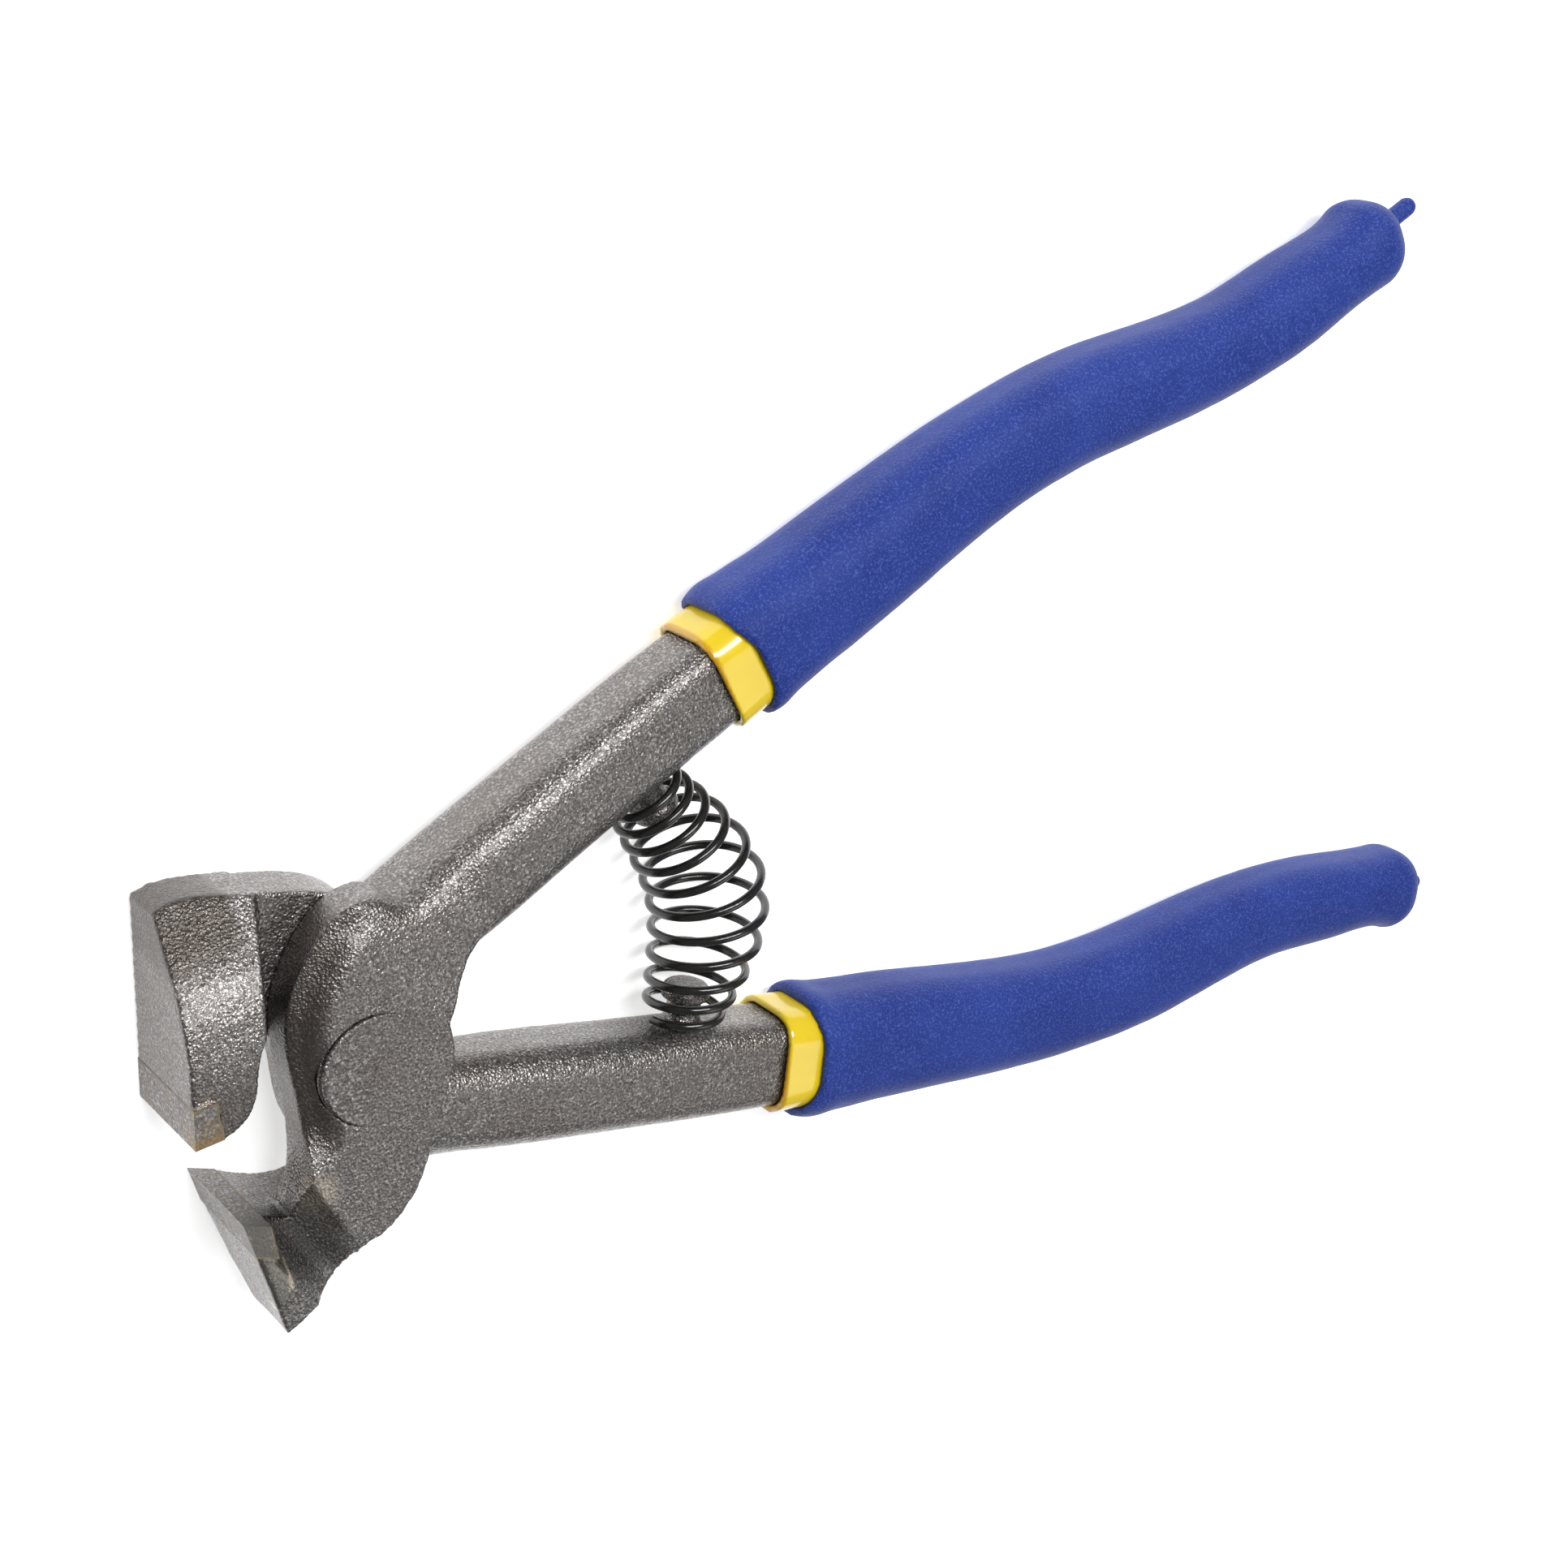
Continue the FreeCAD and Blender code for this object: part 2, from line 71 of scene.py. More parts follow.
# the CAD's own measures, about the pivot in mm
BOSS_FACE = 7.4             # outer face of each boss from the lap plane
PEG = (43.7, 17.35)         # base of the upper spring peg; the lower one is its mirror
HALF_OPEN = math.radians(13.785)
SLEEVE_START = 59.3         # along each handle's own X
GRIP_START = 64.7
GRIP_MIDDLE = 13.5          # from each handle's own X axis, outwards

FORGED_VOXEL = 0.30 * MM
GRIP_VOXEL = 0.40 * MM
SLEEVE_VOXEL = 0.33 * MM
FLOOR_GLOW = 0.60

noise.seed_set(5)           # without a seed, noise_vector takes its offsets from the clock


# ---- shader helpers ------------------------------------------------------------------------------

def material(name):
    """A new material with a Principled shader: its node tree and that shader."""
    made = bpy.data.materials.new(name)
    made.use_nodes = True
    tree = made.node_tree
    return made, tree, tree.nodes["Principled BSDF"]


def object_coords(tree):
    """Points in the tool's frame, in metres: every piece's object sits at the origin."""
    return tree.nodes.new("ShaderNodeTexCoord").outputs["Object"]


def noise_node(tree, coords, scale, detail=3.0, rough=0.55):
    made = tree.nodes.new("ShaderNodeTexNoise")
    made.inputs["Scale"].default_value = scale
    made.inputs["Detail"].default_value = detail
    made.inputs["Roughness"].default_value = rough
    tree.links.new(coords, made.inputs["Vector"])
    return made.outputs["Fac"]


def voronoi_node(tree, coords, scale):
    made = tree.nodes.new("ShaderNodeTexVoronoi")
    made.inputs["Scale"].default_value = scale
    tree.links.new(coords, made.inputs["Vector"])
    return made.outputs["Distance"]


def ramp(tree, fac, stops):
    """A colour ramp; stops are (position, (r, g, b))."""
    made = tree.nodes.new("ShaderNodeValToRGB")
    elements = made.color_ramp.elements
    while len(elements) < len(stops):
        elements.new(0.5)
    for element, (position, colour) in zip(elements, stops):
        element.position = position
        element.color = (*colour, 1.0)
    tree.links.new(fac, made.inputs["Fac"])
    return made.outputs["Color"]


def grey_ramp(tree, fac, low, high, dark=0.0, light=1.0):
    """dark up to low, light from high on, and even between."""
    return ramp(tree, fac, [(low, (dark,) * 3), (high, (light,) * 3)])


def mixed(tree, fac, first, second, blend="MIX"):
    """Mix two colours; fac, first and second are sockets or constants."""
    made = tree.nodes.new("ShaderNodeMix")
    made.data_type = "RGBA"
    made.blend_type = blend
    for socket, value in ((made.inputs[0], fac), (made.inputs[6], first), (made.inputs[7], second)):
        if isinstance(value, bpy.types.NodeSocket):
            tree.links.new(value, socket)
        elif isinstance(value, tuple):
            socket.default_value = (*value, 1.0)
        else:
            socket.default_value = value
    return made.outputs[2]


def summed(tree, first, second, share):
    """first + second * share, as a height."""
    made = tree.nodes.new("ShaderNodeMath")
    made.operation = "MULTIPLY_ADD"
    made.inputs[1].default_value = share
    tree.links.new(second, made.inputs[0])
    tree.links.new(first, made.inputs[2])
    return made.outputs[0]


def multiplied(tree, first, second):
    made = tree.nodes.new("ShaderNodeMath")
    made.operation = "MULTIPLY"
    tree.links.new(first, made.inputs[0])
    tree.links.new(second, made.inputs[1])
    return made.outputs[0]


def bumped(tree, shader, height, strength, distance):
    made = tree.nodes.new("ShaderNodeBump")
    made.inputs["Strength"].default_value = strength
    made.inputs["Distance"].default_value = distance
    tree.links.new(height, made.inputs["Height"])
    tree.links.new(made.outputs["Normal"], shader.inputs["Normal"])


def position(tree, coords, axis):
    """One coordinate of a point in the tool's frame, as a socket, in metres."""
    made = tree.nodes.new("ShaderNodeSeparateXYZ")
    tree.links.new(coords, made.inputs["Vector"])
    return made.outputs[axis]


def attribute(tree, name):
    """A painted area of the mesh, from 0 to 1, as a socket."""
    made = tree.nodes.new("ShaderNodeAttribute")
    made.attribute_name = name
    return made.outputs["Fac"]


# ---- materials -----------------------------------------------------------------------------------

STEEL_GRAIN = 3000.0
# grain tones of the steel; the lightest stop makes sparse light flecks that are also painted sparkle
# highlights
GRAIN_AND_GLINT_TONES = [(0.34, (0.105, 0.097, 0.092)), (0.54, (0.200, 0.187, 0.179)), (0.70, (0.480, 0.458, 0.444))]
STAIN = (0.150, 0.118, 0.092)
# brownish painted shade, for rims and jaw faces that turn away from the lamps
BROWN_PAINTED_SHADE = (0.082, 0.070, 0.062)
# painted shade for the hollow above the lower jaw
HOLLOW_SHADE = (0.038, 0.034, 0.032)
GROUND_STEEL = (0.150, 0.142, 0.125)
GOLDEN_TRACE = (0.260, 0.180, 0.088)
# painted highlight, for the line round the ground facet and a spot on the lower jaw's throat edge
PAINTED_HIGHLIGHT = (0.75, 0.64, 0.50)
GOLDEN_STREAK = (0.240, 0.165, 0.080)
GOLDEN_END = (0.260, 0.178, 0.085)


def blasted_steel(name):
    """Shot-blasted forging under clear lacquer: warm grey, grainy, with sparkling facets."""
    made, tree, shader = material(name)
    coords = object_coords(tree)
    grain = noise_node(tree, coords, STEEL_GRAIN, 2.0, 0.6)
    pits = voronoi_node(tree, coords, 2900.0)
    stain = noise_node(tree, coords, 110.0, 4.0, 0.6)
    fleck = noise_node(tree, coords, 3300.0, 1.0, 0.5)
    # the grain's light flecks are partly painted sparkle highlights
    base = ramp(tree, grain, GRAIN_AND_GLINT_TONES)
    stained = mixed(tree, grey_ramp(tree, stain, 0.50, 0.72, 0.0, 0.40), base, STAIN)
    # brown lays brownish painted shade
    brown = mixed(tree, attribute(tree, "brown"), stained, BROWN_PAINTED_SHADE)
    # dark lays painted shade in the hollow
    hollow_shaded = mixed(tree, attribute(tree, "dark"), brown, HOLLOW_SHADE)
    ground = mixed(tree, attribute(tree, "facet"), hollow_shaded, GROUND_STEEL)
    gold = mixed(tree, attribute(tree, "gold"), ground, GOLDEN_TRACE)
    # bright lays painted highlights
    lit = mixed(tree, attribute(tree, "bright"), gold, PAINTED_HIGHLIGHT)
    tree.links.new(lit, shader.inputs["Base Color"])
    tree.links.new(grey_ramp(tree, fleck, 0.40, 0.62, 0.20, 0.42), shader.inputs["Roughness"])
    shader.inputs["Metallic"].default_value = 0.90
    shader.inputs["Coat Weight"].default_value = 0.2
    shader.inputs["Coat Roughness"].default_value = 0.2
    height = summed(tree, grain, pits, 0.8)
    flat = grey_ramp(tree, attribute(tree, "facet"), 0.0, 1.0, 1.0, 0.3)
    bumped(tree, shader, multiplied(tree, height, flat), 1.0, 0.00011)
    return made


def ground_carbide(name, end_colour, end_top):
    """Carbide ground flush with the forging: the same grey and grain.

    Its near end takes end_colour below end_top, which is in metres along Y.
    """
    made, tree, shader = material(name)
    coords = object_coords(tree)
    grain = noise_node(tree, coords, STEEL_GRAIN, 2.0, 0.6)
    patch = noise_node(tree, coords, 520.0, 3.0, 0.6)
    # the same grain, its light flecks partly painted sparkle highlights
    base = ramp(tree, grain, GRAIN_AND_GLINT_TONES)
    streaks = mixed(tree, grey_ramp(tree, patch, 0.56, 0.70, 0.0, 0.5), base, GOLDEN_STREAK)
    end = grey_ramp(tree, position(tree, coords, "Z"), 0.0146, 0.0156)
    low = grey_ramp(tree, position(tree, coords, "Y"), end_top - 0.0008, end_top, 1.0, 0.0)
    share = multiplied(tree, multiplied(tree, grey_ramp(tree, patch, 0.32, 0.50), end), low)
    tree.links.new(mixed(tree, share, streaks, end_colour), shader.inputs["Base Color"])
    shader.inputs["Metallic"].default_value = 0.85
    shader.inputs["Roughness"].default_value = 0.42
    bumped(tree, shader, grain, 0.8, 0.00009)
    return made


def braze_metal():
    """Braze film: dulled to the steel's grey along the jaw, golden where it shows at the end."""
    made, tree, shader = material("braze_metal")
    coords = object_coords(tree)
    lumps = noise_node(tree, coords, 1300.0, 3.0, 0.6)
    dull = ramp(tree, lumps, [(0.3, (0.130, 0.112, 0.092)), (0.7, (0.240, 0.205, 0.160))])
    golden = ramp(tree, lumps, [(0.3, (0.170, 0.125, 0.075)), (0.7, (0.340, 0.250, 0.140))])
    end = grey_ramp(tree, position(tree, coords, "Z"), 0.0125, 0.0155, 0.0, 0.4)
    tree.links.new(mixed(tree, end, dull, golden), shader.inputs["Base Color"])
    shader.inputs["Metallic"].default_value = 0.8
    shader.inputs["Roughness"].default_value = 0.48
    bumped(tree, shader, lumps, 0.5, 0.00008)
    return made


def spring_black():
    """Black stoved wire: nearly smooth, with small streaks along the draw."""
    made, tree, shader = material("spring_black")
    coords = object_coords(tree)
    streak = noise_node(tree, coords, 900.0, 3.0, 0.6)
    base = ramp(tree, streak, [(0.3, (0.004, 0.004, 0.004)), (0.7, (0.011, 0.010, 0.009))])
    tree.links.new(base, shader.inputs["Base Color"])
    tree.links.new(grey_ramp(tree, streak, 0.3, 0.7, 0.16, 0.28), shader.inputs["Roughness"])
    shader.inputs["Coat Weight"].default_value = 0.3
    shader.inputs["Coat Roughness"].default_value = 0.08
    bumped(tree, shader, streak, 0.15, 0.00004)
    return made


def yellow_vinyl():
    """Glossy dipped vinyl, a little translucent, with soft dips and a deeper tone near the rim."""
    made, tree, shader = material("yellow_vinyl")
    coords = object_coords(tree)
    cloud = noise_node(tree, coords, 160.0, 2.0, 0.5)
    base = ramp(tree, cloud, [(0.35, (0.745, 0.540, 0.010)), (0.65, (0.785, 0.575, 0.016))])
    rim = mixed(tree, attribute(tree, "rim"), base, (0.560, 0.290, 0.008))
    tree.links.new(rim, shader.inputs["Base Color"])
    shader.inputs["Roughness"].default_value = 0.22
    shader.inputs["Coat Weight"].default_value = 0.5
    shader.inputs["Coat Roughness"].default_value = 0.08
    shader.inputs["Subsurface Weight"].default_value = 0.12
    shader.inputs["Subsurface Radius"].default_value = (0.0012, 0.0006, 0.0001)
    shader.inputs["Subsurface Scale"].default_value = 0.5
    bumped(tree, shader, noise_node(tree, coords, 260.0, 2.0, 0.5), 0.12, 0.0002)
    return made


def blue_vinyl():
    """Satin dipped vinyl with a fine pebbled grain that carries pale specks."""
    made, tree, shader = material("blue_vinyl")
    coords = object_coords(tree)
    pebble = noise_node(tree, coords, 3300.0, 3.0, 0.65)
    cells = voronoi_node(tree, coords, 1900.0)
    cloud = noise_node(tree, coords, 70.0, 3.0, 0.55)
    deep = ramp(tree, cloud, [(0.35, (0.010, 0.028, 0.200)), (0.65, (0.015, 0.040, 0.250))])
    specked = mixed(tree, grey_ramp(tree, pebble, 0.50, 0.68, 0.0, 0.85), deep, (0.070, 0.115, 0.430))
    tree.links.new(specked, shader.inputs["Base Color"])
    tree.links.new(grey_ramp(tree, pebble, 0.35, 0.7, 0.42, 0.60), shader.inputs["Roughness"])
    shader.inputs["Specular IOR Level"].default_value = 0.22
    shader.inputs["Sheen Weight"].default_value = 0.03
    shader.inputs["Sheen Roughness"].default_value = 0.45
    shader.inputs["Sheen Tint"].default_value = (0.75, 0.78, 0.9, 1.0)
    bumped(tree, shader, summed(tree, pebble, cells, 0.5), 0.8, 0.00014)
    return made


def pale_floor():
    """White sweep, softly lit from inside so that it stays pale under the tool."""
    made, tree, shader = material("pale_floor")
    coords = object_coords(tree)
    cloud = noise_node(tree, coords, 3.0, 2.0, 0.5)
    tree.links.new(grey_ramp(tree, cloud, 0.3, 0.7, 0.86, 0.90), shader.inputs["Base Color"])
    shader.inputs["Roughness"].default_value = 0.9
    shader.inputs["Specular IOR Level"].default_value = 0.1
    shader.inputs["Emission Color"].default_value = (1.0, 1.0, 1.0, 1.0)
    shader.inputs["Emission Strength"].default_value = FLOOR_GLOW
    return made


# ---- mesh helpers --------------------------------------------------------------------------------

def about_pivot(mesh):
    """The mesh's points about the pivot, in mm."""
    points = np.zeros(len(mesh.vertices) * 3)
    mesh.vertices.foreach_get("co", points)
    return (points.reshape(-1, 3) - np.array(PIVOT)) / MM


def set_points(mesh, points):
    mesh.vertices.foreach_set("co", (points * MM + np.array(PIVOT)).ravel())
    mesh.update()


def vertex_normals(mesh):
    normals = np.zeros(len(mesh.vertices) * 3)
    mesh.vertices.foreach_get("normal", normals)
    return normals.reshape(-1, 3)


def point_attribute(mesh, name, values):
    made = mesh.attributes.get(name) or mesh.attributes.new(name, "FLOAT", "POINT")
    made.data.foreach_set("value", np.asarray(values, np.float32))


def copied(node, name):
    """A new object with a welded copy of a CAD node's mesh."""
    made = bpy.data.objects.new(name, nodes[node].data.copy())
    bpy.context.scene.collection.objects.link(made)
    made.data.materials.clear()
    shape = bmesh.new()
    shape.from_mesh(made.data)
    bmesh.ops.remove_doubles(shape, verts=shape.verts, dist=0.002 * MM)
    shape.to_mesh(made.data)
    shape.free()
    return made


def applied(piece):
    """Replace the piece's mesh by the one its modifiers make."""
    graph = bpy.context.evaluated_depsgraph_get()
    fresh = bpy.data.meshes.new_from_object(piece.evaluated_get(graph))
    piece.modifiers.clear()
    piece.vertex_groups.clear()
    piece.data = fresh


def remeshed(piece, voxel):
    """Replace the mesh by one even skin of that voxel size."""
    made = piece.modifiers.new("voxels", "REMESH")
    made.mode = "VOXEL"
    made.voxel_size = voxel
    applied(piece)


def smoothed(piece, turns, weights=None):
    """Average the mesh out; weights, one per point, say how much."""
    made = piece.modifiers.new("smooth", "SMOOTH")
    made.factor = 0.5
    made.iterations = turns
    if weights is not None:
        group = piece.vertex_groups.new(name="amount")
        steps = np.round(np.clip(weights, 0, 1) * 10).astype(int)
        for step in range(1, 11):
            group.add(np.nonzero(steps == step)[0].tolist(), step / 10, "REPLACE")
        made.vertex_group = "amount"
    applied(piece)


def ramped(values, low, high):
    """0 below low, 1 above high, smooth between."""
    share = np.clip((values - low) / (high - low), 0, 1)
    return share * share * (3 - 2 * share)


def noise_values(points, scale):
    """Smooth random values from -1 to 1 at that scale in mm."""
    return np.array([noise.noise(Vector(p) / scale) for p in points])


def rough_skin(points, scale, amount):
    """Random offsets along each axis, from smooth noise at that scale in mm."""
    return np.array([noise.noise_vector(Vector(p) / scale) for p in points]) * amount


def inside_box(points):
    """Keep points inside the CAD's box."""
    low, high = [(np.array(corner) - np.array(PIVOT)) / MM for corner in cad_box]
    return np.clip(points, low, high)


def shade_smooth(piece):
    piece.data.polygons.foreach_set("use_smooth", [True] * len(piece.data.polygons))
    piece.data.update()


def place(piece, body, finish, node):
    """Give a finished piece its material and its body, in place of a CAD node."""
    shade_smooth(piece)
    piece.data.materials.clear()
    piece.data.materials.append(finish)
    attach(piece, body)
    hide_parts(node)


# ---- camera, light, floor ------------------------------------------------------------------------

CAMERA_LENS = 59.25
CAMERA_FROM_PIVOT = (-0.08898, 0.15333, 0.24715)
CAMERA_AZIMUTH = math.radians(-133.398)
CAMERA_TILT = math.radians(40.418)      # from looking straight down
CAMERA_ROLL = math.radians(117.567)
WORLD_STRENGTH = 0.25
# name, place, size and power of each lamp; all of them point at the origin
SOFTBOXES = (
    ("key", (0.05, 0.33, 0.62), (0.50, 0.17), 4.6),
    ("fill", (0.25, -0.40, 0.65), (0.50, 0.50), 1.2),
)


def make_camera():
    lens = bpy.data.cameras.new("camera")
    lens.lens = CAMERA_LENS
    lens.sensor_width = 36.0
    lens.clip_start = 0.01
    lens.clip_end = 20.0
    camera = bpy.data.objects.new("camera", lens)
    turn = Matrix.Rotation(CAMERA_AZIMUTH, 4, "Z") @ Matrix.Rotation(CAMERA_TILT, 4, "X")
    turn = turn @ Matrix.Rotation(CAMERA_ROLL, 4, "Z")
    camera.matrix_world = Matrix.Translation(PIVOT + Vector(CAMERA_FROM_PIVOT)) @ turn
    bpy.context.scene.collection.objects.link(camera)
    bpy.context.scene.camera = camera


def softbox(name, place_from, size, power):
    lamp = bpy.data.lights.new(name, "AREA")
    lamp.shape = "RECTANGLE"
    lamp.size, lamp.size_y = size
    lamp.energy = power
    made = bpy.data.objects.new(name, lamp)
    made.location = Vector(place_from)
    made.rotation_euler = (-Vector(place_from)).to_track_quat("-Z", "Y").to_euler()
    bpy.context.scene.collection.objects.link(made)


def make_floor():
    bpy.ops.mesh.primitive_plane_add(size=6.0, location=(0, 0, -0.0002))
    floor = bpy.context.object
    floor.name = "floor"
    floor.data.materials.append(pale_floor())


def make_world():
    world = bpy.data.worlds.new("studio")
    world.use_nodes = True
    backdrop = world.node_tree.nodes["Background"]
    backdrop.inputs["Color"].default_value = (1.0, 1.0, 1.0, 1.0)
    backdrop.inputs["Strength"].default_value = WORLD_STRENGTH
    bpy.context.scene.world = world
    bpy.context.scene.view_settings.view_transform = "Standard"


# ---- forgings ------------------------------------------------------------------------------------

# Edge of each boss towards the jaws, about the pivot in mm, on the boss's own side of the lap
FRONT_EDGE = [(5.6, 19.7), (2.2, 19.8), (-0.8, 18.6), (-3.1, 16.5), (-5.6, 13.6), (-7.6, 10.4), (-8.6, 7.4),
              (-8.9, 4.5), (-9.1, 0.0), (-9.2, -4.0), (-9.8, -8.0), (-10.9, -11.6), (-13.0, -14.2)]
REAR_EDGE = [(5.6, -19.2), (2.6, -19.4), (-3.1, -16.5), (-7.0, -10.4), (-8.2, -4.5), (-7.9, 1.0), (-8.8, 5.6),
             (-14.5, 13.0)]
LOWER_WAIST = [(-17.0, -8.2), (-9.6, -26.2)]        # bottom of the hollow above the lower jaw
FRONT_CORNER = (3.8, -14.3)         # where the boss's back meets the jaw
REAR_CORNER = (4.7, 17.2)
ROOT = (11.0, 17.0)                 # where the boss runs into the bar; the rear one is its mirror
EDGE_DROP = 2.3                     # how low a boss's rim lies under its face
INSERT_SINK = 0.16                  # how far the steel lies under the insert's own face
FACET_MIDDLE = (-18.9, -18.6)       # the ground facet on the lower jaw's near side
FACET_HALF = (3.2, 5.3)
ROOT_TURNS = 220                    # smoothing turns at the root and elsewhere
SOFT_TURNS = 110
# painted areas: ground facet, golden traces, painted highlights, brownish painted shade, painted shade in the
# hollow
PAINTS = ("facet", "gold", "bright", "brown", "dark")


def line_distance(points, line):
    """Distance in the XY plane from each point to a line of straight runs."""
    nearest = np.full(len(points), 1e9)
    for start, end in zip(np.array(line[:-1]), np.array(line[1:])):
        run = end - start
        share = np.clip((points[:, :2] - start) @ run / (run @ run), 0, 1)
        gap = points[:, :2] - start - share[:, None] * run
        nearest = np.minimum(nearest, np.hypot(*gap.T))
    return nearest


def near_spot(points, spot, inner, outer):
    """1 within inner mm of a spot in the XY plane, 0 beyond outer."""
    return 1 - ramped(np.hypot(points[:, 0] - spot[0], points[:, 1] - spot[1]), inner, outer)


def rolled(points, edge, side):
    """Slope a boss's face down to its jaw-side edge: a low rim, a steep band, then the flat face."""
    gap = line_distance(points, edge)
    drop = EDGE_DROP * (1 - 0.15 * ramped(gap, 0.0, 1.0) - 0.85 * ramped(gap, 0.6, 4.6))
    drop *= 1 - 0.6 * near_spot(points, edge[0], 1.0, 7.0)
    drop *= ramped(side * points[:, 1], -10.0, -4.0)
    own = side * points[:, 2]
    points[:, 2] = np.where(own > 0, points[:, 2] * (1 - drop / BOSS_FACE), points[:, 2])
    return gap


def filled(piece, *others):
    """Add other nodes' meshes, a touch larger, so that the remesh makes one skin over all of them."""
    shape = bmesh.new()
    shape.from_mesh(piece.data)
    for node in others:
        start = len(shape.verts)
        shape.from_mesh(nodes[node].data)
        shape.verts.ensure_lookup_table()
        added = shape.verts[start:]
        middle = sum((v.co for v in added), Vector()) / len(added)
        for vert in added:
            vert.co = middle + (vert.co - middle) * 1.02
    shape.to_mesh(piece.data)
    shape.free()


def forged(node, name, side, edge, corner, jaw):
    """A forging with soft forged edges, its boss on that side of the lap plane.

    Also gives how much each point is to be smoothed later.
    """
    piece = copied(node, name)
    filled(piece, jaw + "_carbide_tip", jaw + "_braze_seam")
    remeshed(piece, FORGED_VOXEL)
    smoothed(piece, 4)
    points = about_pivot(piece.data)
    gap = rolled(points, edge, side)
    set_points(piece.data, points)
    own = ramped(side * points[:, 2], 0.6, 2.5)
    smoothed(piece, ROOT_TURNS, near_spot(points, (ROOT[0], side * ROOT[1]), 4.0, 9.0) * own)
    soft = (1 - ramped(gap, 3.0, 6.5)) * 0.5
    soft = np.maximum(soft, near_spot(points, corner, 1.5, 4.5))
    own = np.maximum(own, ramped(points[:, 0], 13.0, 18.0))
    stud = near_spot(points, PEG, 3.5, 6.0) + near_spot(points, (PEG[0], -PEG[1]), 3.5, 6.0)
    soft = np.maximum(soft, ramped(points[:, 0], 12.0, 20.0) * 0.8 * (1 - stud))
    return piece, soft * own


def under_insert(points, jaw):
    """1 where a point lies on the insert of that jaw, 0 a little way off it."""
    outline = about_pivot(nodes[jaw + "_carbide_tip"].data)[:, :2]
    middle = outline.mean(0)
    outline = np.unique(outline.round(3), axis=0)
    order = np.argsort(np.arctan2(*(outline - middle).T[::-1]))
    ring = outline[order]
    inside = np.full(len(points), 1e9)
    for start, end in zip(ring, np.roll(ring, -1, axis=0)):
        run = (end - start) / np.hypot(*(end - start))
        depth = (points[:, 1] - start[1]) * run[0] - (points[:, 0] - start[0]) * run[1]
        inside = np.minimum(inside, depth)
    return ramped(inside, -0.35, -0.1)


def finished(piece, body, finish, node, jaw, dents, **paint):
    """Give a forging its rough skin, its painted areas and its place."""
    points = about_pivot(piece.data)
    normals = vertex_normals(piece.data)
    sunk = under_insert(points, jaw)[:, None]
    dent = rough_skin(points, 3.4, 0.10) * dents[:, None]
    points += (dent + rough_skin(points, 1.5, 0.022)) * (1 - sunk)
    points -= normals * sunk * INSERT_SINK
    set_points(piece.data, inside_box(points))
    for name in PAINTS:
        point_attribute(piece.data, name, paint.get(name, np.zeros(len(points))))
    place(piece, body, finish, node)


def front_softness(points, soft):
    """Add the hollow above the lower jaw and two corners of its curve to what is smoothed."""
    x, y, z = points.T
    valley = (1 - ramped(line_distance(points, LOWER_WAIST), 4.5, 7.0)) * ramped(z, 0.5, 3.0)
    valley *= ramped(x, -18.6, -17.0)
    soft = np.maximum(soft, valley)
    soft = np.maximum(soft, near_spot(points, (-12.8, -14.2), 1.5, 3.5) * 0.8)
    return np.maximum(soft, near_spot(points, (-8.2, -16.0), 1.5, 3.5) * ramped(-z, -1.0, 0.5))


def front_paint(points):
    """Painted areas: brownish painted shade along the boss's rim, painted shade in the hollow, painted
    highlights round the facet and on the throat edge, the ground facet and golden traces.
    """
    x, y, z = points.T
    # the band of brownish painted shade along the boss's rim, and a painted highlight near its lower end
    band = (1 - ramped(line_distance(points, FRONT_EDGE), 2.2, 4.4)) * ramped(z, -0.2, 0.4)
    band *= (1 - near_spot(points, FRONT_EDGE[0], 3.0, 8.0)) * ramped(y, -9.0, -5.0)
    throat_highlight = near_spot(points, (-9.8, -12.0), 0.8, 3.6) * ramped(z, 4.0, 6.0) * 0.34
    # the ground facet, with a painted highlight line round it
    bulge = np.abs((x - FACET_MIDDLE[0]) / FACET_HALF[0]) ** 3
    bulge += np.abs((y - FACET_MIDDLE[1]) / FACET_HALF[1]) ** 3
    jaw = ramped(z, 5.2, 6.0) * ramped(-x, 13.0, 14.0)
    facet = (1 - ramped(bulge, 0.85, 1.0)) * jaw
    rim = np.exp(-((bulge - 1.0) / 0.16) ** 2) * jaw * ramped(-noise_values(points, 1.8), -0.25, 0.2)
    # painted shade in the hollow above the jaw, and the trace of braze below the insert
    along = ramped(y, -26.0, -20.0) * ramped(-y, 6.5, 9.0)
    # painted shade along the bottom of the hollow
    dark = (1 - ramped(line_distance(points, LOWER_WAIST), 0.8, 4.0)) * ramped(z, 1.5, 3.5) * along * 0.9
    lip = ramped(-y, 11.0, 12.0) * (1 - ramped(-y, 13.5, 16.0)) * ramped(-x, 15.0, 17.0)
    gold = lip * ramped(noise_values(points, 1.1), -0.1, 0.4) * 0.8
    bright = np.maximum(rim * 0.85, throat_highlight)
    return {"facet": facet, "bright": bright, "gold": gold, "brown": band * 0.8, "dark": dark}


def make_front(finish):
    """The front forging: near boss, lower jaw and upper bar."""
    piece, soft = forged("front_half", "front_forging", 1, FRONT_EDGE, FRONT_CORNER, "lower")
    smoothed(piece, SOFT_TURNS, front_softness(about_pivot(piece.data), soft))
    points = about_pivot(piece.data)
    paint = front_paint(points)
    dents = 0.25 + 0.5 * ramped(-points[:, 0], 12.0, 16.0) * (1 - paint["facet"])
    finished(piece, "front", finish, "front_half", "lower", dents, **paint)


